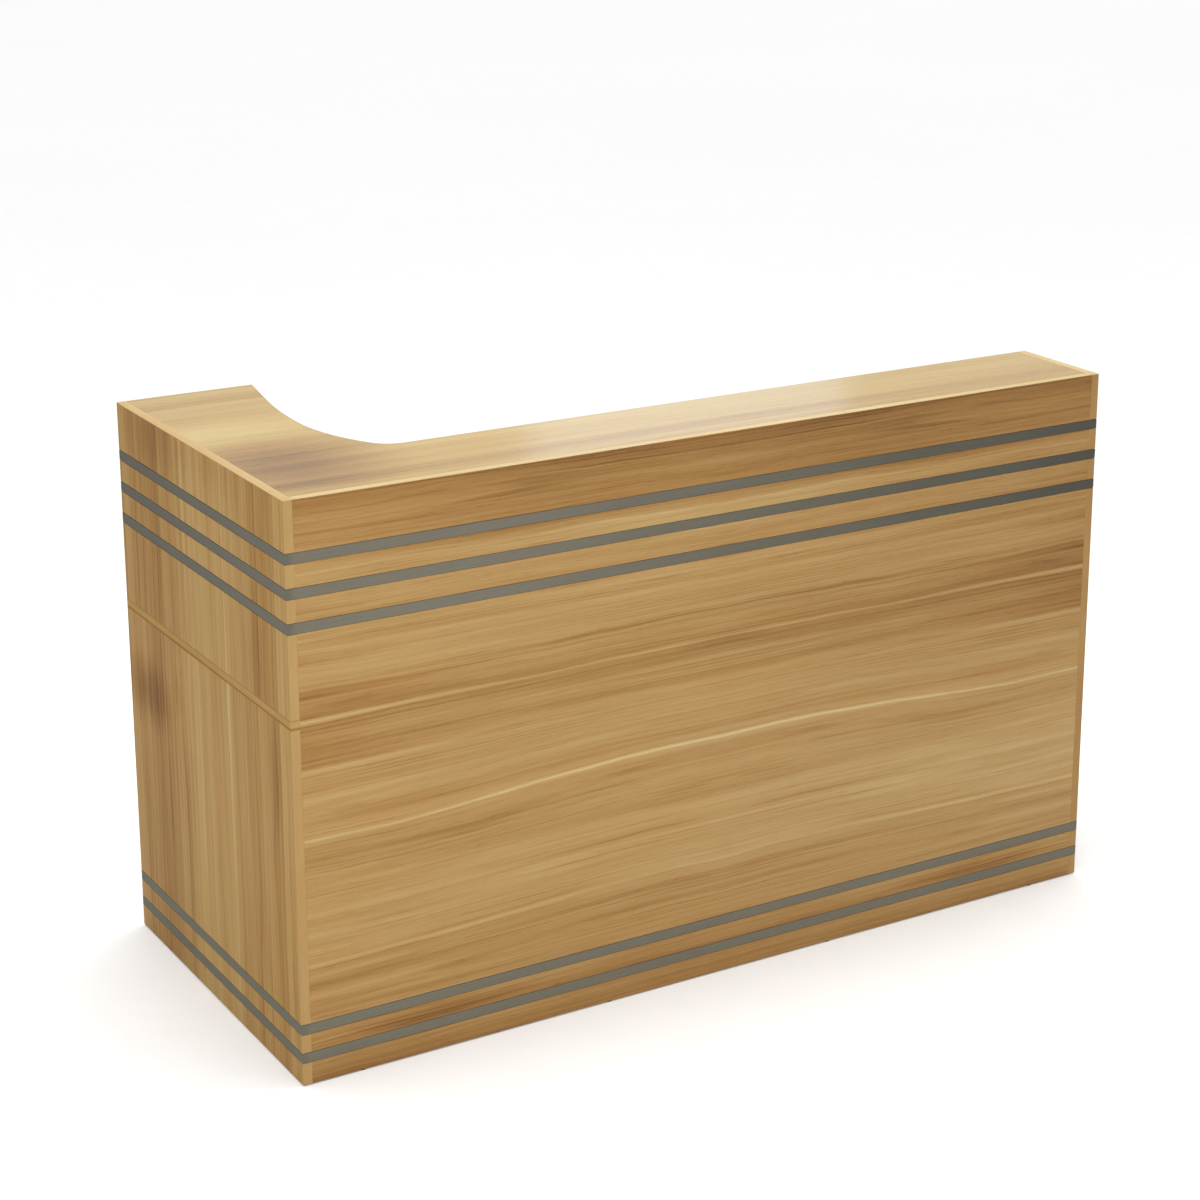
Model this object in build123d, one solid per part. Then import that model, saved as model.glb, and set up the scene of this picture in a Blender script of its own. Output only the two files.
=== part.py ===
from build123d import *
import os
from math import cos, radians, sin, sqrt, tan

# Checkout counter with a raised customer shelf that turns back along its left end.
# Millimetres. The customer stands on the -Y side, +X is to the customer's right, +Z is up.
# Origin: on the floor, under the middle of the counter's footprint.

# ---------------------------------------------------------------- driving sizes
LENGTH = 1792.0
DEPTH = 788.0
HEIGHT = 1100.0
BOARD = 18.0
BAND = 1.0
GLIDE_H = 2.5

SHELF_DEPTH = 238.0         # customer shelf, front to back
DESK_TOP = 702.0            # height of the staff's work surface
DESK_DEPTH = 600.0
DESK_WING = 456.0           # width of the work surface where it runs back along the left end
DESK_CORNER_R = 150.0

WAIST_Y = 467.0             # where the shelf's left arm is narrowest, from the customer face
WAIST_W = 238.0
CORNER_R = 60.0             # the three tangent arcs of the shelf's inner edge
BEND_R = 390.0
SWEEP_R = 1000.0
SWEEP_TURN = 10.5           # degrees that the long arc turns before the edge runs straight

STRIP_H = 18.8              # inlaid grey strips
STRIP_T = 1.5
STRIP_GAP = 1.1             # shadow gap above and below each strip
UPPER_STRIP_TOP = 1005.0
UPPER_STRIP_PITCH = 63.2
UPPER_STRIPS = 3
LOWER_STRIP_TOP = 120.5
LOWER_STRIP_PITCH = 56.0
LOWER_STRIPS = 2

SETBACK = 15.0              # inner boards stop this far behind the edge above them
DIVIDER_LEFTS = (455.0, 895.0, 1335.0)
RISER_SHELF_Z = 883.0
WING_DIVIDER_Y = 480.0
WING_END_Y = 760.0
WING_END_W = 232.0

PEDESTAL_W = 420.0          # clear width between the pedestal's two walls
FRONTS_Y = 753.0            # outer face of the drawer and the door, from the customer face
PLINTH_H = 62.0
TOE_RECESS = 45.0
KNEE_W = 750.0              # clear width of the knee space
UNIT_DEPTH = 585.0

DOOR_BOTTOM = 65.0
DOOR_TOP = 547.0
FRONT_GAP = 1.5
HINGE_GAP = 2.8
DRAWER_BOTTOM = 551.0
DRAWER_TOP = 681.0
CUPBOARD_SHELF_Z = 300.0
UNIT_SHELF_Z = 370.0

BOX_T = 12.0                # drawer sides and back
BOX_LOW = 562.0
BOX_HIGH = 656.0
BOX_LENGTH = 450.0
BOTTOM_T = 5.0
BOTTOM_Z = 570.0
GROOVE = 6.0

RAIL_W = 12.7               # one runner, wall to drawer
RAIL_T = 1.2
RAIL_STEP = 2.5             # each inner member is this much lower, top and bottom
OUTER_LIP = 9.5             # from the wall: how far the outer member's flanges reach
MIDDLE_WEB = 3.2            # from the wall: the middle member's web, and its flanges' ends
MIDDLE_LIP = 10.6
INNER_LIP = 6.4             # from the wall: where the inner member's flanges start
DRAWER_RAIL_H = 45.0
DRAWER_RAIL_Z = 609.0
TRAY_RAIL_H = 27.0
TRAY_LENGTH = 330.0
TRAY_BACK_GAP = 15.0
TRAY_Z = 582.0

HANDLE_CENTRES = 128.0
HANDLE_STANDOFF = 28.0
HANDLE_R = 4.5
HANDLE_BEND = 12.0
DRAWER_HANDLE_Z = 600.0
DOOR_HANDLE_Z = 420.0
DOOR_HANDLE_INSET = 38.0

LOCK_Z = 655.0
LOCK_R = 9.0
LOCK_FLANGE_R = 11.0
PLUG_R = 6.0
CAM_REACH = 22.0
LOCK_PROUD = 1.5            # the lock's face, in front of the drawer front
LOCK_TAIL = 4.5             # its housing, behind the drawer front
LOCK_CAM_T = 2.5
LOCK_CAM_GAP = 0.5
KEYWAY_W = 1.6
KEYWAY_H = 8.0
KEYWAY_DEPTH = 8.0
STRIKE_GAP = 1.0            # between the lock's cam and the strike's upright
STRIKE_T = 2.0
STRIKE_DROP = 16.0
STRIKE_FOOT = 30.0
STRIKE_FOOT_T = 1.5

CATCH_W = 14.0
CATCH_H = 30.0
CATCH_LENGTH = 28.0
CATCH_BELOW_TOP = 15.0      # under the door's top edge
CATCH_PLATE_T = 1.5

HINGE_H = 60.0
HINGE_ZS = (135.0, 477.0)
HINGE_LEAF = 30.0
LEAF_T = 1.2
KNUCKLE_R = 2.5
KNUCKLE_STAND = 0.4         # clear of the end panel and of the door's face
PIN_R = 1.2
KNUCKLES = 5
RUN_PLAY = 0.05             # radial play of a pin, plug or fitting in its hole
SIDE_PLAY = 0.3             # least gap between parts that move past each other

GROMMET_X = 1000.0
GROMMET_Y = 95.0
GROMMET_R = 30.0
GROMMET_FLANGE_R = 35.5
GROMMET_WALL = 2.0
FLANGE_T = 2.0
LEDGE_DROP = 3.0            # the ledge that carries the lid, under the ring's top
NOTCH_HALF = 8.0            # cable notch in the lid
NOTCH_START = 12.0

CAM_R = 7.5                 # cam fitting housings, bolts and caps
CAM_DEPTH = 12.5
CAM_INSET = 34.0
CAM_BOLT_R = 3.0
CAM_BITE = 10.0
CAM_CAP_R = 8.5
CAM_CAP_T = 0.8
CAM_FROM_EDGE = 45.0        # places of the fittings, from the left end or the customer face
CAMS_WING_X = (45.0, 160.0)
CAMS_PEDESTAL_Y = (80.0, 660.0)
CAMS_UNIT_Y = (80.0, 520.0)
CAMS_CUPBOARD_FLOOR_Y = (120.0, 620.0)
CAMS_UNIT_FLOOR_Y = (120.0, 470.0)
CAMS_FRONT_LOWER_Z = (220.0, 600.0)
CAMS_FRONT_UPPER_Z = (820.0,)
CAMS_ARM_Y = (150.0, 620.0)
CAMS_RIGHT_Y = (150.0,)
CAMS_SHELF_X = (300.0, 690.0, 1130.0, 1570.0)

GLIDE_R = 8.0
GLIDES_FRONT_X = (120.0, 640.0, 1150.0, 1670.0)
GLIDES_LEFT_Y = (60.0, 400.0, 740.0)
GLIDES_RIGHT_Y = (60.0, 540.0)
GLIDES_WALL_Y = (300.0, 710.0)
GLIDES_PARTITION_Y = (300.0, 540.0)

PIN_HOLE_R = 2.5            # shelf pins and their rows of holes
PIN_BITE = 9.0
PIN_STAND = 8.0
PIN_PITCH = 32.0
PIN_HOLES_EACH_WAY = 2
PIN_MARGIN = 1 / 6          # of the shelf's depth, from its front and back edges
SHELF_PLAY = 0.5

# ---------------------------------------------------------------- derived places
LEFT = -LENGTH / 2
RIGHT = LENGTH / 2
FRONT = -DEPTH / 2
REAR = DEPTH / 2
FOOT = GLIDE_H
INNER_LEFT = LEFT + BOARD
INNER_RIGHT = RIGHT - BOARD
INNER_FRONT = FRONT + BOARD
TOP_UNDER = HEIGHT - BOARD
DESK_UNDER = DESK_TOP - BOARD
SHELF_EDGE = FRONT + SHELF_DEPTH
DESK_EDGE = FRONT + DESK_DEPTH
WALL_X = INNER_LEFT + PEDESTAL_W
UNIT_X = WALL_X + BOARD + KNEE_W
FACE_Y = FRONT + FRONTS_Y
FACE_BACK_Y = FACE_Y - BOARD
BOX_BACK_Y = FACE_BACK_Y - BOX_LENGTH
UNIT_EDGE = FRONT + UNIT_DEPTH
PEDESTAL_MID_X = INNER_LEFT + PEDESTAL_W / 2
STRIP_BOTTOMS = [UPPER_STRIP_TOP - STRIP_H - i * UPPER_STRIP_PITCH for i in range(UPPER_STRIPS)]
LOW_STRIP_BOTTOMS = [LOWER_STRIP_TOP - STRIP_H - i * LOWER_STRIP_PITCH for i in range(LOWER_STRIPS)]

parts = {}                  # node name: shape
bands = {}                  # node name: list of edge-banding solids


# ---------------------------------------------------------------- helpers
def block(x, y, z):
    """A rectangular board or bar between pairs of coordinates."""
    size = (x[1] - x[0], y[1] - y[0], z[1] - z[0])
    centre = ((x[0] + x[1]) / 2, (y[0] + y[1]) / 2, (z[0] + z[1]) / 2)
    return Pos(*centre) * Box(*size)


TURNS = {"X": Rot(0, 90, 0), "Y": Rot(90, 0, 0), "Z": Rot(0, 0, 0)}


def rod(centre, radius, length, axis):
    """A round bar centred on a point, along X, Y or Z."""
    return Pos(*centre) * TURNS[axis] * Cylinder(radius, length)


def prism(points, z):
    """An upright prism on a closed outline of (x, y) points."""
    face = make_face(Polyline(*points, close=True))
    return Pos(0, 0, z[0]) * extrude(face, amount=z[1] - z[0])


def banded(name, x, y, z, faces, band_node):
    """A board whose named faces, such as +y, carry edge banding inside the stated size."""
    spans = {"x": tuple(x), "y": tuple(y), "z": tuple(z)}
    for face in faces:
        low, high = spans[face[1]]
        strip = dict(spans)
        if face[0] == "+":
            strip[face[1]] = (high - BAND, high)
            spans[face[1]] = (low, high - BAND)
        else:
            strip[face[1]] = (low, low + BAND)
            spans[face[1]] = (low + BAND, high)
        bands.setdefault(band_node, []).append(block(**strip))
    parts[name] = block(**spans)


def gather(solids):
    """Separate solids kept together as one node."""
    return Compound([solid for item in solids for solid in item.solids()])


# ---------------------------------------------------------------- outer panels
def right_panel_outline(inset):
    """The right side panel in the YZ plane: deep below the work surface, shallow above it."""
    return [
        (FRONT + inset, FOOT),
        (DESK_EDGE - inset, FOOT),
        (DESK_EDGE - inset, DESK_TOP - inset),
        (SHELF_EDGE - inset, DESK_TOP - inset),
        (SHELF_EDGE - inset, HEIGHT - inset),
        (FRONT + inset, HEIGHT - inset),
    ]


def right_panel_solid(inset):
    face = make_face(Polyline(*right_panel_outline(inset), close=True))
    return Pos(INNER_RIGHT, 0, 0) * extrude(Plane.YZ * face, amount=BOARD)


def outer_panels():
    banded("left_upper_side_panel", (LEFT, INNER_LEFT), (FRONT, REAR), (DESK_TOP, HEIGHT),
           ("+z", "-y", "+y"), "outer_panel_edge_bands")
    banded("left_lower_side_panel", (LEFT, INNER_LEFT), (FRONT, REAR), (FOOT, DESK_UNDER),
           ("-y", "+y"), "outer_panel_edge_bands")
    banded("front_panel", (INNER_LEFT, INNER_RIGHT), (FRONT, INNER_FRONT), (FOOT, HEIGHT),
           ("+z",), "outer_panel_edge_bands")
    whole = right_panel_solid(0)
    core = right_panel_solid(BAND)
    parts["right_side_panel"] = core
    bands["outer_panel_edge_bands"].append(whole - core)


# ---------------------------------------------------------------- counter top and work surface
def counter_top_face(inset):
    """L-shaped shelf board; its inner edge is three tangent arcs and two straight runs."""
    sweep_c = (LEFT + WAIST_W + SWEEP_R, FRONT + WAIST_Y)
    bend_c = (LEFT + WAIST_W + BEND_R, FRONT + WAIST_Y)
    corner_y = SHELF_EDGE + CORNER_R
    between = BEND_R - CORNER_R
    rise = bend_c[1] - corner_y
    run = sqrt(between ** 2 - rise ** 2)
    corner_c = (bend_c[0] - run, corner_y)

    def on_circle(centre, radius, degrees):
        turn = radians(degrees)
        return (centre[0] - radius * cos(turn), centre[1] + radius * sin(turn))

    meet = -Vector(run, rise).get_angle(Vector(1, 0))
    sweep_r = SWEEP_R + inset
    bend_r = BEND_R + inset
    corner_r = CORNER_R + inset
    sweep_start = on_circle(sweep_c, sweep_r, SWEEP_TURN)
    waist = on_circle(sweep_c, sweep_r, 0)
    meeting = on_circle(bend_c, bend_r, meet)
    corner_end = (corner_c[0], SHELF_EDGE - inset)
    arm_end_y = REAR - inset
    arm_end_x = sweep_start[0] + (arm_end_y - sweep_start[1]) * tan(radians(SWEEP_TURN))
    edges = [
        Line((INNER_LEFT, arm_end_y), (INNER_LEFT, INNER_FRONT)),
        Line((INNER_LEFT, INNER_FRONT), (INNER_RIGHT, INNER_FRONT)),
        Line((INNER_RIGHT, INNER_FRONT), (INNER_RIGHT, SHELF_EDGE - inset)),
        Line((INNER_RIGHT, SHELF_EDGE - inset), corner_end),
        ThreePointArc(corner_end, on_circle(corner_c, corner_r, (meet - 90) / 2), meeting),
        ThreePointArc(meeting, on_circle(bend_c, bend_r, meet / 2), waist),
        ThreePointArc(waist, on_circle(sweep_c, sweep_r, SWEEP_TURN / 2), sweep_start),
        Line(sweep_start, (arm_end_x, arm_end_y)),
        Line((arm_end_x, arm_end_y), (INNER_LEFT, arm_end_y)),
    ]
    return make_face(edges)


def counter_top():
    whole = Pos(0, 0, TOP_UNDER) * extrude(counter_top_face(0), amount=BOARD)
    core = Pos(0, 0, TOP_UNDER) * extrude(counter_top_face(BAND), amount=BOARD)
    parts["counter_top"] = core
    bands["counter_top_edge_bands"] = [whole - core]


def desktop_face(inset):
    """Work surface: it passes through the left end, with a tongue beside the front panel."""
    wing_x = LEFT + DESK_WING
    centre = (wing_x + DESK_CORNER_R, DESK_EDGE + DESK_CORNER_R)
    radius = DESK_CORNER_R + inset
    diagonal = radius * cos(radians(45))
    start = (centre[0], DESK_EDGE - inset)
    end = (wing_x - inset, centre[1])
    outline = [
        end,
        (wing_x - inset, REAR - inset),
        (LEFT + inset, REAR - inset),
        (LEFT + inset, FRONT + inset),
        (INNER_LEFT, FRONT + inset),
        (INNER_LEFT, INNER_FRONT),
        (INNER_RIGHT, INNER_FRONT),
        (INNER_RIGHT, DESK_EDGE - inset),
        start,
    ]
    middle = (centre[0] - diagonal, centre[1] - diagonal)
    return make_face([Polyline(*outline), ThreePointArc(start, middle, end)])


def desktop():
    hole = rod((LEFT + GROMMET_X, FRONT + GROMMET_Y, DESK_TOP), GROMMET_R + RUN_PLAY, 4 * BOARD, "Z")
    whole = Pos(0, 0, DESK_UNDER) * extrude(desktop_face(0), amount=BOARD)
    core = Pos(0, 0, DESK_UNDER) * extrude(desktop_face(BAND), amount=BOARD)
    parts["desktop"] = core - hole
    bands["desktop_edge_bands"] = [whole - core]


# ---------------------------------------------------------------- inlaid strips
def strip_plan(side, depth):
    """One strip in plan; the side strips are mitred against the front one."""
    if side == "front":
        return [(LEFT, FRONT), (RIGHT, FRONT), (RIGHT - STRIP_T, FRONT + STRIP_T),
                (LEFT + STRIP_T, FRONT + STRIP_T)]
    outer = LEFT if side == "left" else RIGHT
    inner = outer + STRIP_T if side == "left" else outer - STRIP_T
    return [(outer, FRONT), (inner, FRONT + STRIP_T), (inner, depth), (outer, depth)]


def inlay_strips():
    levels = [(bottom, SHELF_EDGE) for bottom in STRIP_BOTTOMS]
    levels += [(bottom, DESK_EDGE) for bottom in LOW_STRIP_BOTTOMS]
    grooved = ("front_panel", "left_upper_side_panel", "left_lower_side_panel", "right_side_panel")
    for side in ("front", "left", "right"):
        strips = []
        for bottom, right_depth in levels:
            depth = REAR if side == "left" else right_depth
            plan = strip_plan(side, depth)
            strips.append(prism(plan, (bottom, bottom + STRIP_H)))
            groove = prism(plan, (bottom - STRIP_GAP, bottom + STRIP_H + STRIP_GAP))
            for name in grooved:
                parts[name] -= groove
            bands["outer_panel_edge_bands"] = [band - groove for band in bands["outer_panel_edge_bands"]]
        parts[side + "_inlay_strips"] = gather(strips)


# ---------------------------------------------------------------- compartments above the work surface
def upper_compartments():
    upright = (DESK_TOP, TOP_UNDER)
    for side, left in zip(("left", "middle", "right"), DIVIDER_LEFTS):
        banded("riser_divider_" + side, (LEFT + left, LEFT + left + BOARD),
               (INNER_FRONT, SHELF_EDGE - SETBACK), upright, ("+y",), "inner_board_edge_bands")
    banded("wing_divider", (INNER_LEFT, LEFT + WAIST_W - SETBACK),
           (FRONT + WING_DIVIDER_Y, FRONT + WING_DIVIDER_Y + BOARD), upright, ("+x",),
           "inner_board_edge_bands")
    banded("wing_end_panel", (INNER_LEFT, INNER_LEFT + WING_END_W),
           (FRONT + WING_END_Y, FRONT + WING_END_Y + BOARD), upright, ("+x",), "inner_board_edge_bands")
    bay_left = LEFT + DIVIDER_LEFTS[-1] + BOARD
    banded("riser_shelf", (bay_left + SHELF_PLAY, INNER_RIGHT - SHELF_PLAY),
           (INNER_FRONT + SHELF_PLAY, SHELF_EDGE - SETBACK - SHELF_PLAY),
           (RISER_SHELF_Z, RISER_SHELF_Z + BOARD), ("+y",), "inner_board_edge_bands")


# ---------------------------------------------------------------- pedestal and shelf unit
def under_desk():
    bands_node = "inner_board_edge_bands"
    upright = (FOOT, DESK_UNDER)
    floor_z = (PLINTH_H, PLINTH_H + BOARD)
    banded("pedestal_side_panel", (WALL_X, WALL_X + BOARD), (INNER_FRONT, FACE_Y), upright,
           ("+y",), bands_node)
    banded("shelf_unit_partition", (UNIT_X, UNIT_X + BOARD), (INNER_FRONT, UNIT_EDGE), upright,
           ("+y",), bands_node)
    cupboard_edge = FACE_BACK_Y - FRONT_GAP
    for name, x, edge in (("pedestal", (INNER_LEFT, WALL_X), cupboard_edge),
                          ("shelf_unit", (UNIT_X + BOARD, INNER_RIGHT), UNIT_EDGE)):
        banded(name + "_bottom_board", x, (INNER_FRONT, edge), floor_z, ("+y",), bands_node)
        toe = edge - TOE_RECESS
        parts[name + "_kickboard"] = block(x, (toe - BOARD, toe), (FOOT, PLINTH_H))
    for name, x, edge, low in (("cupboard_shelf", (INNER_LEFT, WALL_X), cupboard_edge, CUPBOARD_SHELF_Z),
                               ("shelf_unit_shelf", (UNIT_X + BOARD, INNER_RIGHT), UNIT_EDGE, UNIT_SHELF_Z)):
        banded(name, (x[0] + SHELF_PLAY, x[1] - SHELF_PLAY), (INNER_FRONT + SHELF_PLAY, edge - SETBACK),
               (low, low + BOARD), ("+y",), bands_node)


def shelf_pins():
    """Pins under each loose shelf, and the rows of spare holes above and below them."""
    pins = []
    supports = (
        ("cupboard_shelf", "left_lower_side_panel", "pedestal_side_panel", CUPBOARD_SHELF_Z),
        ("shelf_unit_shelf", "shelf_unit_partition", "right_side_panel", UNIT_SHELF_Z),
        ("riser_shelf", "riser_divider_right", "right_side_panel", RISER_SHELF_Z),
    )
    for shelf, left_board, right_board, shelf_z in supports:
        box = parts[shelf].bounding_box()
        margin = box.size.Y * PIN_MARGIN
        for board, wall_x, inward in ((left_board, box.min.X - SHELF_PLAY, 1),
                                      (right_board, box.max.X + SHELF_PLAY, -1)):
            for y in (box.min.Y + margin, box.max.Y - margin):
                z = shelf_z - PIN_HOLE_R
                bite_x = wall_x - inward * PIN_BITE / 2
                for step in range(-PIN_HOLES_EACH_WAY, PIN_HOLES_EACH_WAY + 1):
                    hole_at = (bite_x, y, z + step * PIN_PITCH)
                    parts[board] -= rod(hole_at, PIN_HOLE_R + RUN_PLAY, PIN_BITE, "X")
                middle_x = wall_x + inward * (PIN_STAND - PIN_BITE) / 2
                pins.append(rod((middle_x, y, z), PIN_HOLE_R, PIN_STAND + PIN_BITE, "X"))
    parts["shelf_pins"] = gather(pins)


# ---------------------------------------------------------------- runners
def runner_member(web, flange_end, half_height, y, z_mid, wall_x, inward):
    """One channel of a runner. web and flange_end are distances from the wall towards the drawer."""
    def across(a, b):
        ends = (wall_x + inward * a, wall_x + inward * b)
        return (min(ends), max(ends))

    shape = block(across(*web), y, (z_mid - half_height, z_mid + half_height))
    for sign in (-1, 1):
        outer = z_mid + sign * half_height
        inner = outer - sign * RAIL_T
        shape += block(across(min(web[0], flange_end), max(web[1], flange_end)), y,
                       (min(outer, inner), max(outer, inner)))
    return shape


def runner_set(members, half_height, y, z_mid, walls):
    """Both hands of a runner: one list of solids for each member, from the wall inwards."""
    profiles = {
        "outer": ((0.0, RAIL_T), OUTER_LIP),
        "middle": ((MIDDLE_WEB, MIDDLE_WEB + RAIL_T), MIDDLE_LIP),
        "inner": ((RAIL_W - RAIL_T, RAIL_W), INNER_LIP),
    }
    result = {}
    for step, member in enumerate(members):
        web, flange_end = profiles[member]
        result[member] = gather([
            runner_member(web, flange_end, half_height - step * RAIL_STEP, y, z_mid, wall_x, inward)
            for wall_x, inward in walls
        ])
    return result


# ---------------------------------------------------------------- drawer
def drawer():
    front_x = (INNER_LEFT + FRONT_GAP, WALL_X - FRONT_GAP)
    banded("drawer_front", front_x, (FACE_BACK_Y, FACE_Y), (DRAWER_BOTTOM, DRAWER_TOP),
           ("+z", "-z", "-x", "+x"), "drawer_front_edge_bands")
    parts["drawer_front"] -= rod((PEDESTAL_MID_X, FACE_Y, LOCK_Z), LOCK_R + RUN_PLAY, 4 * BOARD, "Y")

    left_x = INNER_LEFT + RAIL_W
    right_x = WALL_X - RAIL_W
    length_y = (BOX_BACK_Y, FACE_BACK_Y)
    height_z = (BOX_LOW, BOX_HIGH)
    bottom = block((left_x + GROOVE, right_x - GROOVE), (BOX_BACK_Y + BOX_T, FACE_BACK_Y),
                   (BOTTOM_Z, BOTTOM_Z + BOTTOM_T))
    sides = [block((left_x, left_x + BOX_T), length_y, height_z) - bottom,
             block((right_x - BOX_T, right_x), length_y, height_z) - bottom]
    parts["drawer_sides"] = gather(sides)
    parts["drawer_back"] = block((left_x + BOX_T, right_x - BOX_T), (BOX_BACK_Y, BOX_BACK_Y + BOX_T),
                                 height_z)
    parts["drawer_bottom"] = bottom

    walls = ((INNER_LEFT, 1), (WALL_X, -1))
    rails = runner_set(("outer", "middle", "inner"), DRAWER_RAIL_H / 2,
                       (BOX_BACK_Y, FACE_BACK_Y - 2 * FRONT_GAP), DRAWER_RAIL_Z, walls)
    for member, shape in rails.items():
        parts["drawer_" + member + "_rails"] = shape


def lock():
    """Cam lock in the drawer front; the cam turns up behind a strike under the work surface."""
    rear_y = FACE_BACK_Y - LOCK_TAIL
    face_y = FACE_Y + LOCK_PROUD
    centre_x = PEDESTAL_MID_X
    housing = rod((centre_x, (rear_y + FACE_Y) / 2, LOCK_Z), LOCK_R, FACE_Y - rear_y, "Y")
    housing += rod((centre_x, (FACE_Y + face_y) / 2, LOCK_Z), LOCK_FLANGE_R, LOCK_PROUD, "Y")
    housing -= rod((centre_x, FACE_Y, LOCK_Z), PLUG_R + RUN_PLAY, 4 * BOARD, "Y")
    parts["lock_housing"] = housing

    cam_y = (rear_y - LOCK_CAM_GAP - LOCK_CAM_T, rear_y - LOCK_CAM_GAP)
    plug = rod((centre_x, (cam_y[1] + face_y) / 2, LOCK_Z), PLUG_R, face_y - cam_y[1], "Y")
    plug -= block((centre_x - KEYWAY_W / 2, centre_x + KEYWAY_W / 2), (face_y - KEYWAY_DEPTH, face_y),
                  (LOCK_Z - KEYWAY_H / 2, LOCK_Z + KEYWAY_H / 2))
    cam = block((centre_x - PLUG_R, centre_x + CAM_REACH), cam_y, (LOCK_Z - PLUG_R, LOCK_Z + PLUG_R))
    parts["lock_plug"] = plug + cam

    strike_y = (rear_y + STRIKE_GAP, rear_y + STRIKE_GAP + STRIKE_T)
    strike_x = (centre_x - BOARD, centre_x + BOARD)
    strike = block(strike_x, strike_y, (DESK_UNDER - STRIKE_DROP, DESK_UNDER))
    strike += block(strike_x, (strike_y[0] - STRIKE_FOOT, strike_y[1]),
                    (DESK_UNDER - STRIKE_FOOT_T, DESK_UNDER))
    parts["lock_strike"] = strike


# ---------------------------------------------------------------- door
def door():
    door_x = (INNER_LEFT + HINGE_GAP, WALL_X - FRONT_GAP)
    banded("cupboard_door", door_x, (FACE_BACK_Y, FACE_Y), (DOOR_BOTTOM, DOOR_TOP),
           ("+z", "-z", "-x", "+x"), "door_edge_bands")
    catch_high = DOOR_TOP - CATCH_BELOW_TOP
    catch_z = (catch_high - CATCH_H, catch_high)
    catch_x = (WALL_X - CATCH_W, WALL_X)
    plate_y = FACE_BACK_Y - CATCH_PLATE_T
    parts["magnetic_catch"] = block(catch_x, (plate_y - CATCH_LENGTH, plate_y - SIDE_PLAY), catch_z)
    parts["catch_plate"] = block((catch_x[0], catch_x[1] - 2 * FRONT_GAP), (plate_y, FACE_BACK_Y), catch_z)


def door_hinges():
    """Butt hinges: one leaf on the end panel, one on the door's edge, knuckles in turn on one pin."""
    axis_x = INNER_LEFT + KNUCKLE_R + KNUCKLE_STAND
    axis_y = FACE_Y + KNUCKLE_R + KNUCKLE_STAND
    leaf_x = {"fixed": (INNER_LEFT, INNER_LEFT + LEAF_T),
              "moving": (INNER_LEFT + HINGE_GAP - LEAF_T, INNER_LEFT + HINGE_GAP)}
    leaf_end_y = FACE_Y - SIDE_PLAY
    pitch = HINGE_H / KNUCKLES
    leaves = {"fixed": [], "moving": []}
    pins = []
    for middle_z in HINGE_ZS:
        low_z = middle_z - HINGE_H / 2
        bore = rod((axis_x, axis_y, middle_z), PIN_R + RUN_PLAY, 2 * HINGE_H, "Z")
        shapes = {side: block(leaf_x[side], (leaf_end_y - HINGE_LEAF, leaf_end_y), (low_z, low_z + HINGE_H))
                  for side in leaves}
        for index in range(KNUCKLES):
            side = "moving" if index % 2 else "fixed"
            z = (low_z + index * pitch + SIDE_PLAY / 2, low_z + (index + 1) * pitch - SIDE_PLAY / 2)
            knuckle = rod((axis_x, axis_y, (z[0] + z[1]) / 2), KNUCKLE_R, z[1] - z[0], "Z")
            shapes[side] += block(leaf_x[side], (leaf_end_y, axis_y), z) + knuckle
        for side in leaves:
            leaves[side].append(shapes[side] - bore)
        pins.append(rod((axis_x, axis_y, middle_z), PIN_R, HINGE_H, "Z"))
    parts["hinge_fixed_leaves"] = gather(leaves["fixed"])
    parts["hinge_moving_leaves"] = gather(leaves["moving"])
    parts["hinge_pins"] = gather(pins)


# ---------------------------------------------------------------- handles
def bar_handle():
    """A bent round bar with its feet on the XZ plane, standing out along +Y."""
    half = HANDLE_CENTRES / 2
    path = FilletPolyline((-half, 0, 0), (-half, HANDLE_STANDOFF, 0), (half, HANDLE_STANDOFF, 0),
                          (half, 0, 0), radius=HANDLE_BEND)
    return sweep(Plane(origin=path @ 0, z_dir=path % 0) * Circle(HANDLE_R), path=path)


def handles():
    parts["drawer_handle"] = Pos(PEDESTAL_MID_X, FACE_Y, DRAWER_HANDLE_Z) * bar_handle()
    door_handle_x = WALL_X - FRONT_GAP - DOOR_HANDLE_INSET
    parts["door_handle"] = Pos(door_handle_x, FACE_Y, DOOR_HANDLE_Z) * Rot(0, 90, 0) * bar_handle()


# ---------------------------------------------------------------- keyboard tray
def keyboard_tray():
    left_x = WALL_X + BOARD
    back_y = DESK_EDGE - TRAY_BACK_GAP - TRAY_LENGTH
    walls = ((left_x, 1), (UNIT_X, -1))
    banded("keyboard_tray", (left_x + RAIL_W, UNIT_X - RAIL_W), (back_y, back_y + TRAY_LENGTH),
           (TRAY_Z, TRAY_Z + BOARD), ("+y", "-y"), "tray_edge_bands")
    rails = runner_set(("outer", "inner"), TRAY_RAIL_H / 2, (back_y, back_y + TRAY_LENGTH - SETBACK),
                       TRAY_Z + BOARD / 2, walls)
    for member, shape in rails.items():
        parts["tray_" + member + "_rails"] = shape


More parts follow.
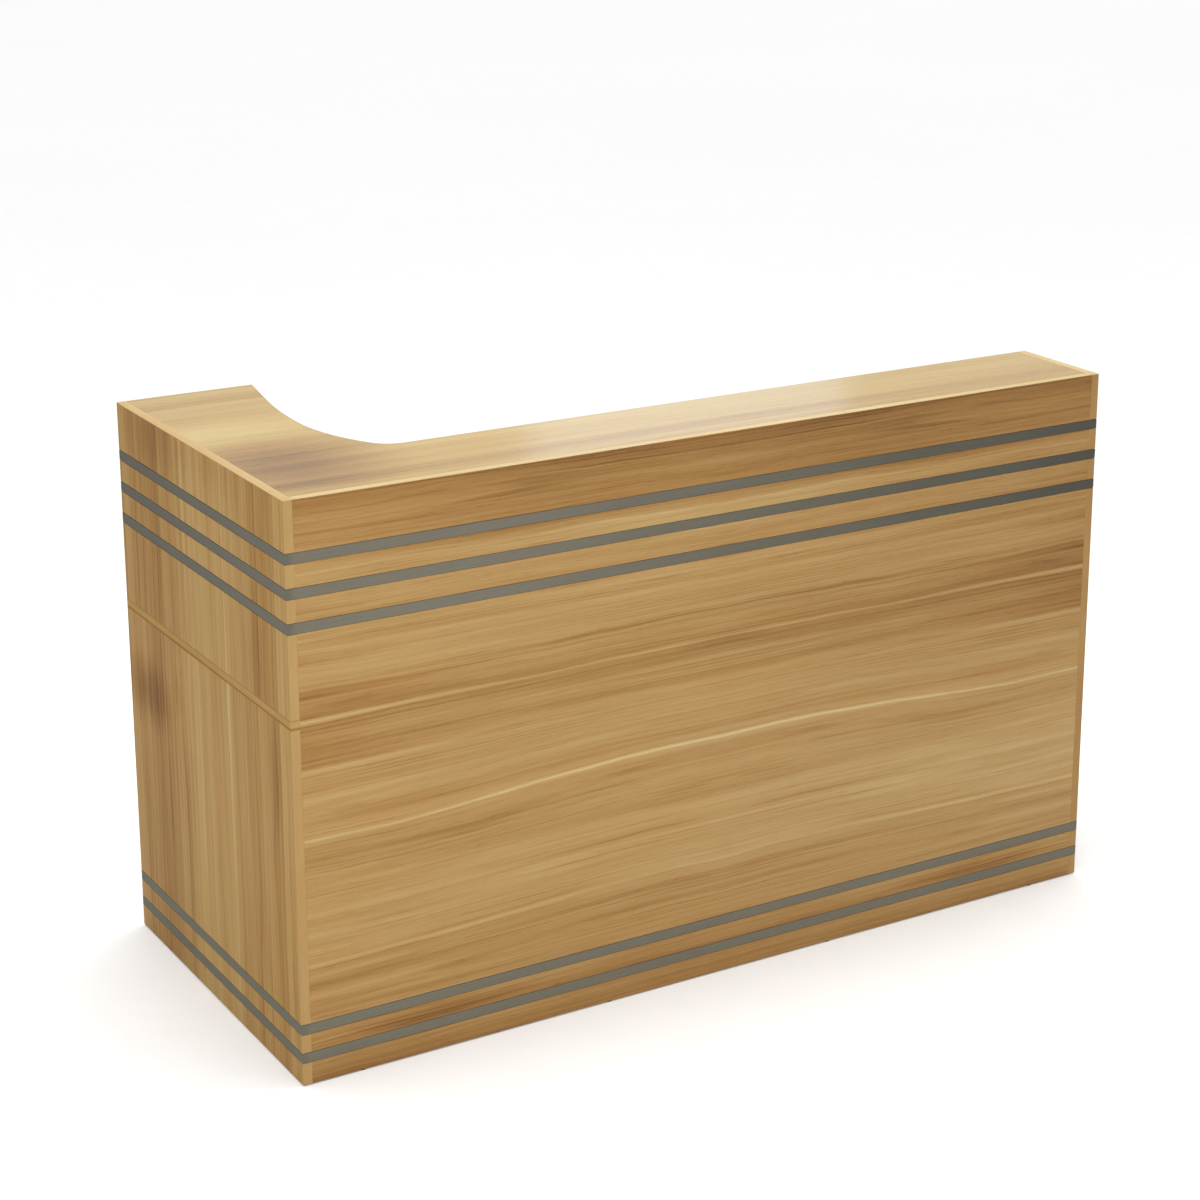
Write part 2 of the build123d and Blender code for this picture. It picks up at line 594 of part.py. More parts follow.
# ---------------------------------------------------------------- cable grommet
def cable_grommet():
    x = LEFT + GROMMET_X
    y = FRONT + GROMMET_Y
    bore_r = GROMMET_R - GROMMET_WALL
    top_z = DESK_TOP + FLANGE_T
    ring = rod((x, y, (DESK_UNDER + top_z) / 2), GROMMET_R, top_z - DESK_UNDER, "Z")
    ring += rod((x, y, DESK_TOP + FLANGE_T / 2), GROMMET_FLANGE_R, FLANGE_T, "Z")
    ledge_top = top_z - LEDGE_DROP
    ring -= rod((x, y, top_z), bore_r, 2 * LEDGE_DROP, "Z")
    ring -= rod((x, y, DESK_TOP), bore_r - GROMMET_WALL, 4 * BOARD, "Z")
    parts["grommet_ring"] = ring

    cap_r = bore_r - SIDE_PLAY
    cap = rod((x, y, (ledge_top + SIDE_PLAY + top_z) / 2), cap_r, top_z - ledge_top - SIDE_PLAY, "Z")
    cap -= block((x - NOTCH_HALF, x + NOTCH_HALF), (y + NOTCH_START, y + GROMMET_R),
                 (DESK_UNDER, top_z + BOARD))
    parts["grommet_cap"] = cap


# ---------------------------------------------------------------- cam fittings and glides
def cam_places():
    """(host board, mating board, cam centre on the host's face, mouth direction, bolt direction)."""
    places = []
    low_z = DESK_TOP + CAM_INSET
    high_z = TOP_UNDER - CAM_INSET
    for side, left in zip(("left", "middle", "right"), DIVIDER_LEFTS):
        for y in (INNER_FRONT + CAM_FROM_EDGE, SHELF_EDGE - SETBACK - CAM_FROM_EDGE):
            host = "riser_divider_" + side
            places.append((host, "desktop", (LEFT + left, y, low_z), (-1, 0, 0), (0, 0, -1)))
            places.append((host, "counter_top", (LEFT + left, y, high_z), (-1, 0, 0), (0, 0, 1)))
    for host, y in (("wing_divider", WING_DIVIDER_Y), ("wing_end_panel", WING_END_Y)):
        for x in CAMS_WING_X:
            places.append((host, "desktop", (INNER_LEFT + x, FRONT + y, low_z), (0, -1, 0), (0, 0, -1)))
            places.append((host, "counter_top", (INNER_LEFT + x, FRONT + y, high_z), (0, -1, 0), (0, 0, 1)))
    under_z = DESK_UNDER - CAM_INSET
    for host, x, ys in (("pedestal_side_panel", WALL_X, CAMS_PEDESTAL_Y),
                        ("shelf_unit_partition", UNIT_X + BOARD, CAMS_UNIT_Y)):
        for y in ys:
            mouth = -1 if host == "pedestal_side_panel" else 1
            places.append((host, "desktop", (x, FRONT + y, under_z), (mouth, 0, 0), (0, 0, 1)))
    for host, left_board, right_board, x, ys in (
            ("pedestal_bottom_board", "left_lower_side_panel", "pedestal_side_panel",
             (INNER_LEFT, WALL_X), CAMS_CUPBOARD_FLOOR_Y),
            ("shelf_unit_bottom_board", "shelf_unit_partition", "right_side_panel",
             (UNIT_X + BOARD, INNER_RIGHT), CAMS_UNIT_FLOOR_Y)):
        for y in ys:
            places.append((host, left_board, (x[0] + CAM_INSET, FRONT + y, PLINTH_H), (0, 0, -1), (-1, 0, 0)))
            places.append((host, right_board, (x[1] - CAM_INSET, FRONT + y, PLINTH_H), (0, 0, -1), (1, 0, 0)))
    front_levels = [(z, "left_lower_side_panel") for z in CAMS_FRONT_LOWER_Z]
    front_levels += [(z, "left_upper_side_panel") for z in CAMS_FRONT_UPPER_Z]
    for z, left_board in front_levels:
        places.append(("front_panel", left_board, (INNER_LEFT + CAM_INSET, INNER_FRONT, z),
                       (0, 1, 0), (-1, 0, 0)))
        places.append(("front_panel", "right_side_panel", (INNER_RIGHT - CAM_INSET, INNER_FRONT, z),
                       (0, 1, 0), (1, 0, 0)))
    for y in CAMS_ARM_Y:
        places.append(("counter_top", "left_upper_side_panel",
                       (INNER_LEFT + CAM_INSET, FRONT + y, TOP_UNDER), (0, 0, -1), (-1, 0, 0)))
    for y in CAMS_RIGHT_Y:
        places.append(("counter_top", "right_side_panel",
                       (INNER_RIGHT - CAM_INSET, FRONT + y, TOP_UNDER), (0, 0, -1), (1, 0, 0)))
    for x in CAMS_SHELF_X:
        places.append(("counter_top", "front_panel", (LEFT + x, INNER_FRONT + CAM_INSET, TOP_UNDER),
                       (0, 0, -1), (0, -1, 0)))
    return places


def axis_name(direction):
    return "XYZ"[[abs(round(value)) for value in direction].index(1)]


def cam_fittings():
    housings = []
    bolts = []
    caps = []
    for host, mate, centre, mouth, pull in cam_places():
        face = Vector(*centre)
        out = Vector(*mouth)
        along = Vector(*pull)
        housing_at = face - out * (CAM_DEPTH / 2)
        bolt_length = CAM_INSET - CAM_R + CAM_BITE
        bolt_at = face - out * (BOARD / 2) + along * (CAM_R + bolt_length / 2)
        cap_at = face + out * (CAM_CAP_T / 2)
        mouth_axis = axis_name(mouth)
        pull_axis = axis_name(pull)
        housings.append(rod(housing_at, CAM_R, CAM_DEPTH, mouth_axis))
        bolts.append(rod(bolt_at, CAM_BOLT_R, bolt_length, pull_axis))
        caps.append(rod(cap_at, CAM_CAP_R, CAM_CAP_T, mouth_axis))
        parts[host] -= rod(housing_at, CAM_R + RUN_PLAY, CAM_DEPTH, mouth_axis)
        bolt_hole = rod(bolt_at, CAM_BOLT_R + RUN_PLAY, bolt_length, pull_axis)
        parts[host] -= bolt_hole
        parts[mate] -= bolt_hole
    parts["cam_housings"] = gather(housings)
    parts["cam_bolts"] = gather(bolts)
    parts["cam_cover_caps"] = gather(caps)


def floor_glides():
    half_board = BOARD / 2
    spots = [(LEFT + x, FRONT + half_board) for x in GLIDES_FRONT_X]
    for board_x, ys in ((LEFT + half_board, GLIDES_LEFT_Y), (RIGHT - half_board, GLIDES_RIGHT_Y),
                        (WALL_X + half_board, GLIDES_WALL_Y), (UNIT_X + half_board, GLIDES_PARTITION_Y)):
        spots += [(board_x, FRONT + y) for y in ys]
    parts["floor_glides"] = gather([rod((x, y, GLIDE_H / 2), GLIDE_R, GLIDE_H, "Z") for x, y in spots])


# ---------------------------------------------------------------- build and write
def build_counter():
    outer_panels()
    counter_top()
    desktop()
    inlay_strips()
    upper_compartments()
    under_desk()
    shelf_pins()
    drawer()
    lock()
    door()
    door_hinges()
    handles()
    keyboard_tray()
    cable_grommet()
    cam_fittings()
    floor_glides()
    for node, solids in bands.items():
        parts[node] = gather(solids)


build_counter()
os.makedirs("parts", exist_ok=True)
for node, shape in parts.items():
    export_step(shape, f"parts/{node}.step")
print(len(parts), "nodes")
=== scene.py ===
"""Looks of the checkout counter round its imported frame: materials, screws, floor, lights and camera."""

import math
import random

import bmesh
import bpy
from mathutils import Matrix, Vector


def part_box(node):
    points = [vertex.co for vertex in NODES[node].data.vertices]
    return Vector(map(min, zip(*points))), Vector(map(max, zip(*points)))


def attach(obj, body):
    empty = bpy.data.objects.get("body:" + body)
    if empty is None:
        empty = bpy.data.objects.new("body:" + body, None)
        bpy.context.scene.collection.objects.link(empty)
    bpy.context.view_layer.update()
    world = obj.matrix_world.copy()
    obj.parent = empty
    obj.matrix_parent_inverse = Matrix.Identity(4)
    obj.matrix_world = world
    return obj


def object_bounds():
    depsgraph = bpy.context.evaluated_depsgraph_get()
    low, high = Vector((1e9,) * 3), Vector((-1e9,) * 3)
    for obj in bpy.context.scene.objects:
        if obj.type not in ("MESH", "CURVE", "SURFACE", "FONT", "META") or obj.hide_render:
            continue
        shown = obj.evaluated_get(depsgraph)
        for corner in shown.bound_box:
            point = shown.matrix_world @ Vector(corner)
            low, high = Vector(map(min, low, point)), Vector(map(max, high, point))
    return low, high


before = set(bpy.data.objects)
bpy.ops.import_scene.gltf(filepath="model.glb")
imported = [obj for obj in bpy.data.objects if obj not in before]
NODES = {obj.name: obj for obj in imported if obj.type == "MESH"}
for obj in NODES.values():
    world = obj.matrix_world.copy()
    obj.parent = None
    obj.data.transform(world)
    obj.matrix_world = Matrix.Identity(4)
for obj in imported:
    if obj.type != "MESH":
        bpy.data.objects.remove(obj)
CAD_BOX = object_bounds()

MM = 0.001
HALF_LENGTH, HALF_DEPTH, HEIGHT = CAD_BOX[1]
AXES = ("X", "Y", "Z")


# ---------------------------------------------------------------- node materials
def linear(red, green, blue, exposure=1.0):
    """A colour given in display values 0-255, as the linear colour that a shader takes."""

    def channel(value):
        value /= 255
        return value / 12.92 if value <= 0.04045 else ((value + 0.055) / 1.055) ** 2.4

    return (channel(red) / exposure, channel(green) / exposure, channel(blue) / exposure, 1.0)


class Shader:
    """One node material, with short calls for the nodes that it is made of."""

    def __init__(self, name, **fixed):
        self.material = bpy.data.materials.new(name)
        self.material.use_nodes = True
        self.tree = self.material.node_tree
        self.tree.nodes.clear()
        output = self.node("OutputMaterial")
        self.bsdf = self.node("BsdfPrincipled")
        self.tree.links.new(self.bsdf.outputs[0], output.inputs[0])
        for socket, value in fixed.items():
            self.bsdf.inputs[socket.replace("_", " ")].default_value = value
        place = self.node("SeparateXYZ")
        coordinates = self.node("TexCoord")
        self.point = coordinates.outputs["Object"]
        self.feed(place.inputs[0], self.point)
        self.at = dict(zip(AXES, place.outputs))

    def node(self, kind, **settings):
        node = self.tree.nodes.new("ShaderNode" + kind)
        for name, value in settings.items():
            setattr(node, name, value)
        return node

    def feed(self, socket, value):
        if isinstance(value, bpy.types.NodeSocket):
            self.tree.links.new(value, socket)
        else:
            socket.default_value = value

    def math(self, operation, *values, clamp=False):
        node = self.node("Math", operation=operation, use_clamp=clamp)
        for socket, value in zip(node.inputs, values):
            self.feed(socket, value)
        return node.outputs[0]

    def vector(self, x, y, z):
        node = self.node("CombineXYZ")
        for socket, value in zip(node.inputs, (x, y, z)):
            self.feed(socket, value)
        return node.outputs[0]

    def span(self, value, low, high, to_low=0.0, to_high=1.0, smooth=False):
        """value taken from low..high to to_low..to_high, and held beyond both ends."""
        node = self.node("MapRange", interpolation_type="SMOOTHSTEP" if smooth else "LINEAR")
        for socket, number in zip(node.inputs, (value, low, high, to_low, to_high)):
            self.feed(socket, number)
        return node.outputs[0]

    def noise(self, vector, scale=1.0, detail=2.0, roughness=0.5, distortion=0.0):
        node = self.node("TexNoise")
        self.feed(node.inputs["Vector"], vector)
        for name, value in zip(("Scale", "Detail", "Roughness", "Distortion"),
                               (scale, detail, roughness, distortion)):
            node.inputs[name].default_value = value
        return node.outputs[0]

    def ramp(self, value, stops, interpolation="LINEAR"):
        """A colour ramp; stops are (place 0-1, tone) or (place 0-1, colour)."""
        node = self.node("ValToRGB")
        node.color_ramp.interpolation = interpolation
        elements = node.color_ramp.elements
        while len(elements) < len(stops):
            elements.new(1.0)
        for element, (place, tone) in zip(elements, stops):
            element.position = place
        for element, (place, tone) in zip(elements, stops):
            element.color = (tone, tone, tone, 1.0) if isinstance(tone, float) else tone
        self.feed(node.inputs[0], value)
        return node.outputs[0]

    def blend(self, share, first, second, how="MIX"):
        node = self.node("Mix", data_type="RGBA", blend_type=how)
        self.feed(node.inputs[0], share)
        self.feed(node.inputs[6], first)
        self.feed(node.inputs[7], second)
        return node.outputs[2]

    def total(self, *values):
        sum_so_far = values[0]
        for value in values[1:]:
            sum_so_far = self.math("ADD", sum_so_far, value)
        return sum_so_far

    def around(self, noise, amount):
        """Noise about its middle, times twice the amount that it should add either way."""
        return self.math("MULTIPLY_ADD", noise, 4 * amount, -2 * amount)

    def bump(self, height, strength, distance):
        node = self.node("Bump")
        node.inputs["Strength"].default_value = strength
        node.inputs["Distance"].default_value = distance
        self.feed(node.inputs["Height"], height)
        self.feed(self.bsdf.inputs["Normal"], node.outputs[0])


EXPOSURE = 1.24     # how much brighter than its own colour a wall of the counter comes out
WOOD_TONES = [
    (0.00, linear(112, 75, 36, EXPOSURE)),
    (0.18, linear(143, 103, 56, EXPOSURE)),
    (0.36, linear(162, 122, 70, EXPOSURE)),
    (0.52, linear(175, 139, 86, EXPOSURE)),
    (0.68, linear(184, 151, 98, EXPOSURE)),
    (0.84, linear(194, 166, 115, EXPOSURE)),
    (1.00, linear(206, 183, 134, EXPOSURE)),
]

# Layers of the wood print: rates along and across the grain (per metre), shift, and settings of the noise.
LAYERS = {
    "drift": (1.1, 3.0, 0.0, {"detail": 2.0}),
    "waver": (6.0, 14.0, 3.0, {"detail": 1.0}),
    "fading": (2.2, 5.0, 27.7, {"detail": 2.0}),
    "streaks": (0.9, 30.0, 1.7, {"detail": 4.0, "roughness": 0.65}),
    "ribbons": (1.8, 120.0, 5.1, {"detail": 4.0, "roughness": 0.65}),
    "fibre": (9.0, 620.0, 9.3, {"detail": 3.0, "roughness": 0.6}),
    "wisps": (1.9, 70.0, 14.9, {"detail": 3.0, "distortion": 0.3}),
    "hairs": (1.4, 400.0, 21.3, {"detail": 3.0, "roughness": 0.6}),
    "pores": (34.0, 900.0, 33.3, {"detail": 1.0}),
    "warmth": (1.6, 11.0, 31.0, {"detail": 1.0}),
}
DRIFT_METRES = 0.007                    # how far the lines wander off, slowly and quickly
WAVER_METRES = 0.0016
WISP_RANGE = (0.58, 0.72)               # the share of the noise that shows as a mark
HAIR_RANGE = (0.555, 0.65)
PORE_RANGE = (0.62, 0.70)
STREAK_TONE = 0.13                      # what each layer adds to the tone, either way or as a dark mark
RIBBON_TONE = 0.12
FIBRE_TONE = 0.05
WISP_TONE = -0.13
HAIR_TONE = -0.14
PORE_TONE = -0.12
ARCH_RANGE = (0.85, 0.06)               # metres from the middle where the arches start and stand full
ARCH_SCALE = 10.0                       # brings metres of rise into the ramp's 0-1
ENDS_RANGE = (0.40, 0.78)               # metres from the middle where the end bands take over
LINE_FADING = (0.36, 0.56, 0.65, 1.0)   # noise to strength of the thin lines
PATCH_OUTLINE = (1.15, 0.1)             # half lengths from a patch's middle, from nothing to full
WARM_SHARE = (0.45, 0.75, 0.0, 0.30)    # noise to share of the warmer tint
WARM_TINT = linear(255, 238, 222)
GLOSS_PLAY = 0.16                       # how much the roughness varies with the fibre
HAIR_DEPTH = -0.6                       # depth of hairs and pores against the height of the fibre
PORE_DEPTH = -1.0
WOOD_BUMP = (0.25, 0.12 * MM)


def wood(name, along, across, span, bands, end_bands=None, mirrored=False, arches=None, lines=(),
         patches=(), seed=0.0, figure=1.0, tint=(1.0, 1.0, 1.0), rough=0.42, shine=0.12, shade=None):
    """A wood print with its grain along one axis.

    bands are (place on the across axis in metres, tone) within span; end_bands are those of the two ends
    of a book-matched sheet, and arches how far its lines rise in the middle, in metres.
    lines are (across, width below, width above, tone change), and patches (along, across, half length,
    half height, tone change, raggedness of the outline). shade gives painted light and shade: a slow
    change of tone over the board.
    """
    s = Shader(name, Specular_IOR_Level=shine)
    low, high = span
    run = s.at[along]
    if mirrored:
        run = s.math("ABSOLUTE", run)

    def layer(which, side):
        along_rate, across_rate, shift, settings = LAYERS[which]
        stretched = [s.math("MULTIPLY", run, along_rate), s.math("MULTIPLY", side, across_rate)]
        return s.noise(s.vector(*stretched, seed + shift), **settings)

    def placed(stops):
        return [((place - low) / (high - low), value) for place, value in stops]

    straight = s.at[across]
    side = s.total(straight, s.around(layer("drift", straight), DRIFT_METRES),
                   s.around(layer("waver", straight), WAVER_METRES))
    if arches:
        share = s.span(run, *ARCH_RANGE, smooth=True)
        heights = placed([(z, 0.5 + ARCH_SCALE * metres) for z, metres in arches])
        rise = s.ramp(s.span(side, low, high), heights)
        rise = s.math("MULTIPLY_ADD", rise, 1 / ARCH_SCALE, -0.5 / ARCH_SCALE)
        side = s.math("SUBTRACT", side, s.math("MULTIPLY", rise, share))

    across_board = s.span(side, low, high)
    tone = s.ramp(across_board, placed(bands))
    if end_bands:
        ends = s.ramp(across_board, placed(end_bands))
        tone = s.blend(s.span(run, *ENDS_RANGE, smooth=True), tone, ends)
    if lines:
        stops = [(low, 0.5)]
        for middle, below, above, change in lines:
            stops += [(middle - below, 0.5), (middle, 0.5 + change), (middle + above, 0.5)]
        marks = s.ramp(across_board, placed(stops))
        strength = s.span(layer("fading", side), *LINE_FADING)
        tone = s.math("MULTIPLY_ADD", s.math("SUBTRACT", marks, 0.5), strength, tone)
    streaks = layer("streaks", side)
    ribbons = layer("ribbons", side)
    fibre = layer("fibre", side)
    wisps = s.span(layer("wisps", side), *WISP_RANGE, smooth=True)
    hairs = s.span(layer("hairs", side), *HAIR_RANGE, smooth=True)
    pores = s.span(layer("pores", side), *PORE_RANGE, smooth=True)
    tone = s.total(
        tone,
        s.around(streaks, STREAK_TONE * figure),
        s.around(ribbons, RIBBON_TONE * figure),
        s.around(fibre, FIBRE_TONE),
        s.math("MULTIPLY", wisps, WISP_TONE * figure),
        s.math("MULTIPLY", hairs, HAIR_TONE * figure),
        s.math("MULTIPLY", pores, PORE_TONE),
    )
    if shade:
        tone = s.math("ADD", tone, shade(s))
    for mid_along, mid_across, half_long, half_high, change, ragged in patches:
        offset = s.vector(
            s.math("DIVIDE", s.math("SUBTRACT", run, mid_along), half_long),
            s.math("DIVIDE", s.math("SUBTRACT", side, mid_across), half_high),
            0.0,
        )
        length = s.node("VectorMath", operation="LENGTH")
        s.feed(length.inputs[0], offset)
        reach = s.math("ADD", length.outputs["Value"], s.around(streaks, ragged))
        tone = s.math("MULTIPLY_ADD", s.span(reach, *PATCH_OUTLINE, smooth=True), change, tone)
    colours = [(place, tuple(c * t for c, t in zip(colour, (*tint, 1.0)))) for place, colour in WOOD_TONES]
    warm_share = s.span(layer("warmth", side), *WARM_SHARE)
    s.feed(s.bsdf.inputs["Base Color"], s.blend(warm_share, s.ramp(tone, colours), WARM_TINT, "MULTIPLY"))
    s.feed(s.bsdf.inputs["Roughness"], s.math("MULTIPLY_ADD", fibre, GLOSS_PLAY, rough - GLOSS_PLAY / 2))
    grooves = (s.math("MULTIPLY", hairs, HAIR_DEPTH), s.math("MULTIPLY", pores, PORE_DEPTH))
    s.bump(s.total(fibre, *grooves), *WOOD_BUMP)
    return s.material


FRONT_ARCHES = [(0.0, 0.0), (0.17, 0.003), (0.26, 0.008), (0.38, 0.012), (0.49, 0.030), (0.62, 0.016),
                (0.71, 0.0), (0.82, -0.014), (0.92, -0.004), (0.98, 0.0), (1.10, 0.0)]
FRONT_MIDDLE = [
    (0.000, 0.36), (0.045, 0.38), (0.075, 0.44), (0.100, 0.46), (0.125, 0.50), (0.160, 0.48), (0.215, 0.52),
    (0.230, 0.54), (0.238, 0.66), (0.300, 0.67), (0.360, 0.66), (0.370, 0.60), (0.445, 0.60), (0.458, 0.66),
    (0.476, 0.64), (0.560, 0.62), (0.604, 0.62), (0.612, 0.50), (0.684, 0.50), (0.695, 0.54), (0.701, 0.52),
    (0.800, 0.58), (0.822, 0.62), (0.834, 0.54), (0.900, 0.58), (0.955, 0.68), (0.975, 0.50), (1.006, 0.42),
    (1.050, 0.44), (1.062, 0.30), (1.100, 0.34),
]
FRONT_ENDS = [
    (0.000, 0.38), (0.040, 0.40), (0.070, 0.41), (0.080, 0.46), (0.160, 0.50), (0.200, 0.52), (0.230, 0.56),
    (0.244, 0.68), (0.360, 0.66), (0.372, 0.58), (0.430, 0.58), (0.460, 0.64), (0.471, 0.60), (0.497, 0.54),
    (0.520, 0.66), (0.597, 0.66), (0.601, 0.40), (0.610, 0.42), (0.670, 0.47), (0.692, 0.54), (0.703, 0.56),
    (0.720, 0.50), (0.730, 0.40), (0.750, 0.40), (0.755, 0.62), (0.815, 0.60), (0.835, 0.54), (0.950, 0.64),
    (1.040, 0.46), (1.070, 0.38),
]
FRONT_LINES = [
    (0.2335, 0.0020, 0.0070, 0.38), (0.4675, 0.0040, 0.0080, 0.50), (0.6790, 0.0016, 0.0016, -0.16),
    (0.6975, 0.0040, 0.0030, 0.36), (0.7045, 0.0014, 0.0016, -0.24), (0.7120, 0.0016, 0.0014, -0.18),
    (0.7600, 0.0016, 0.0016, -0.16), (0.7880, 0.0030, 0.0020, 0.16), (0.8275, 0.0060, 0.0035, 0.36),
    (0.9620, 0.0060, 0.0030, 0.24),
]
FRONT_PATCHES = [
    (0.40, 1.062, 0.17, 0.016, -0.16, 0.7),
    (0.62, 0.078, 0.17, 0.014, -0.16, 0.7),
    (0.86, 0.640, 0.24, 0.030, -0.10, 0.7),
    (0.58, 0.165, 0.10, 0.012, -0.10, 0.7),
    (0.56, 0.425, 0.11, 0.010, -0.08, 0.7),
    (0.00, 0.690, 0.10, 0.016, -0.10, 0.5),
]
PAINTED_SHADE_START = -0.1                              # X where both patches of painted light and shade on the front begin
RIGHT_PAINTED_SHADE = (0.38, 0.66, 0.10, -0.17)         # heights, and the tone change at each: painted light low and painted shade high (left end below likewise)
LEFT_PAINTED_SHADE = (0.05, 0.25, 0.0, -0.07)


def front_painted_shade(s):
    """Painted light and shade on the front: duller high up towards both ends, and a little brighter low down
    at the right.
    """
    right = s.math("MULTIPLY", s.span(s.at["X"], PAINTED_SHADE_START, HALF_LENGTH), s.span(s.at["Z"], *RIGHT_PAINTED_SHADE))
    left = s.math("MULTIPLY", s.span(s.at["X"], PAINTED_SHADE_START, -HALF_LENGTH), s.span(s.at["Z"], *LEFT_PAINTED_SHADE))
    return s.math("ADD", right, left)


front_wood = wood("wood_front", "X", "Z", (0.0, HEIGHT), FRONT_MIDDLE, FRONT_ENDS, True, FRONT_ARCHES,
                  FRONT_LINES, FRONT_PATCHES, seed=3.0, figure=1.15, shade=front_painted_shade)

LEFT_BANDS = [
    (-0.394, 0.50), (-0.360, 0.56), (-0.348, 0.55), (-0.341, 0.42), (-0.310, 0.40), (-0.284, 0.48),
    (-0.262, 0.44), (-0.235, 0.47), (-0.222, 0.50), (-0.190, 0.50), (-0.140, 0.52), (-0.128, 0.62),
    (-0.100, 0.56), (-0.070, 0.55), (-0.010, 0.60), (0.075, 0.62), (0.084, 0.48), (0.140, 0.44),
    (0.192, 0.46), (0.201, 0.36), (0.250, 0.34), (0.262, 0.44), (0.330, 0.40), (0.352, 0.48), (0.394, 0.52),
]
LEFT_LINES = [(-0.348, 0.006, 0.003, 0.10), (-0.113, 0.009, 0.005, 0.30), (0.076, 0.006, 0.003, 0.12)]
# Painted light: the end panels get a slightly lighter copy of the same wood.
END_PAINTED_LIGHT_TINT = (1.04, 1.06, 0.99)
# (along the grain, across it, half length, half height, tone change, raggedness): the darker marks.
LEFT_UPPER_PATCHES = [
    (1.08, 0.20, 0.09, 0.16, -0.12, 0.5),
    (1.08, -0.05, 0.05, 0.20, -0.08, 0.5),
    (0.76, -0.24, 0.14, 0.05, -0.10, 0.5),
]
LEFT_LOWER_PATCHES = [
    (0.58, 0.222, 0.14, 0.024, -0.11, 0.3),
    (0.58, -0.318, 0.15, 0.022, -0.16, 0.3),
    (0.54, 0.31, 0.09, 0.15, -0.30, 0.2),
    (0.58, 0.14, 0.07, 0.03, -0.10, 0.5),
]
RIGHT_PATCHES = [(0.85, 0.10, 0.16, 0.05, -0.12, 0.7), (0.30, -0.20, 0.16, 0.04, -0.12, 0.7)]
left_upper_wood = wood("wood_left_upper", "Z", "Y", (-HALF_DEPTH, HALF_DEPTH), LEFT_BANDS, lines=LEFT_LINES,
                       seed=11.0, figure=1.1, tint=END_PAINTED_LIGHT_TINT, shine=0.02, patches=LEFT_UPPER_PATCHES)
left_lower_wood = wood("wood_left_lower", "Z", "Y", (-HALF_DEPTH, HALF_DEPTH), LEFT_BANDS, lines=LEFT_LINES,
                       seed=14.0, figure=1.1, tint=END_PAINTED_LIGHT_TINT, shine=0.02, patches=LEFT_LOWER_PATCHES)
RIGHT_DRAWN_IN = 0.97               # the right end's bands lie a little closer together
RIGHT_BANDS = [(y * RIGHT_DRAWN_IN, tone) for y, tone in LEFT_BANDS]
right_wood = wood("wood_right", "Z", "Y", (-HALF_DEPTH, HALF_DEPTH), RIGHT_BANDS,
                  seed=18.0, tint=END_PAINTED_LIGHT_TINT, shine=0.02, patches=RIGHT_PATCHES)

TOP_BANDS = [
    (-0.394, 0.46), (-0.350, 0.50), (-0.322, 0.38), (-0.304, 0.40), (-0.286, 0.56), (-0.220, 0.58),
    (-0.160, 0.60), (-0.100, 0.52), (0.000, 0.56), (0.090, 0.58), (0.180, 0.52), (0.280, 0.54),
    (0.305, 0.40), (0.330, 0.46), (0.394, 0.54),
]
TOP_PAINTED_SHADE_AND_SHEEN = [
    (-0.80, -0.19, 0.24, 0.22, -0.46, 0.0),     # painted shadow and dark reflection: the dull corner; painted sheen: the pale area behind it
    (-0.82, 0.07, 0.30, 0.12, 0.16, 0.2),
]
# Its tint makes the top a lighter, greener copy of the wood: painted sheen.
top_wood = wood("wood_top", "X", "Y", (-HALF_DEPTH, HALF_DEPTH), TOP_BANDS, seed=23.0, figure=0.70,
                tint=(1.07, 1.20, 1.08), rough=0.18, shine=0.5,
                patches=TOP_PAINTED_SHADE_AND_SHEEN)
desk_wood = wood("wood_desktop", "X", "Y", (-HALF_DEPTH, HALF_DEPTH), TOP_BANDS, seed=27.0, figure=0.8)

# The plain boards: places as shares of the board's own width.
BOARD_BANDS = [
    (0.00, 0.52), (0.15, 0.58), (0.17, 0.46), (0.32, 0.54), (0.36, 0.44), (0.52, 0.60), (0.60, 0.50),
    (0.78, 0.56), (0.80, 0.42), (1.00, 0.54),
]


def board_wood(name, along, across, seed):
    half = {"X": HALF_LENGTH, "Y": HALF_DEPTH, "Z": HEIGHT}[across]
    bands = [(half * (2 * place - 1), tone) for place, tone in BOARD_BANDS]
    return wood(name, along, across, (-half, half), bands, seed=seed, figure=0.9)


EDGE_TONE = 0.62
EDGE_COARSE = (6.0, 3.0)                # scale and detail of the noises of an edge strip
EDGE_GRAIN = (140.0, 4.0, 0.6)
EDGE_FINE = (520.0, 2.0)
EDGE_MOTTLE = (0.05, 0.05, 0.02)        # tone that the coarse noise, the grain and the fine noise add
EDGE_ROUGH = 0.30
EDGE_ROUGH_PLAY = 0.12
FINE_BUMP_METRES = 0.0001


def edge_material(name, seed, tone_at=None, shine=0.12, stretched=(1.0, 1.0, 1.0)):
    """The thin strips that cover board edges: a lighter print with short fine grain."""
    s = Shader(name, Specular_IOR_Level=shine)
    stretch = s.node("Mapping")
    s.feed(stretch.inputs["Vector"], s.point)
    stretch.inputs["Location"].default_value = (seed, seed, seed)
    stretch.inputs["Scale"].default_value = stretched
    coarse = s.noise(s.point, *EDGE_COARSE)
    grain = s.noise(stretch.outputs[0], *EDGE_GRAIN)
    fine = s.noise(stretch.outputs[0], *EDGE_FINE)
    tone = tone_at(s) if tone_at else EDGE_TONE
    mottle = [s.around(noise, share) for noise, share in zip((coarse, grain, fine), EDGE_MOTTLE)]
    tone = s.total(tone, *mottle)
    s.feed(s.bsdf.inputs["Base Color"], s.ramp(tone, WOOD_TONES))
    s.feed(s.bsdf.inputs["Roughness"], s.math("MULTIPLY_ADD", fine, EDGE_ROUGH_PLAY, EDGE_ROUGH))
    s.bump(fine, 0.15, FINE_BUMP_METRES)
    return s.material


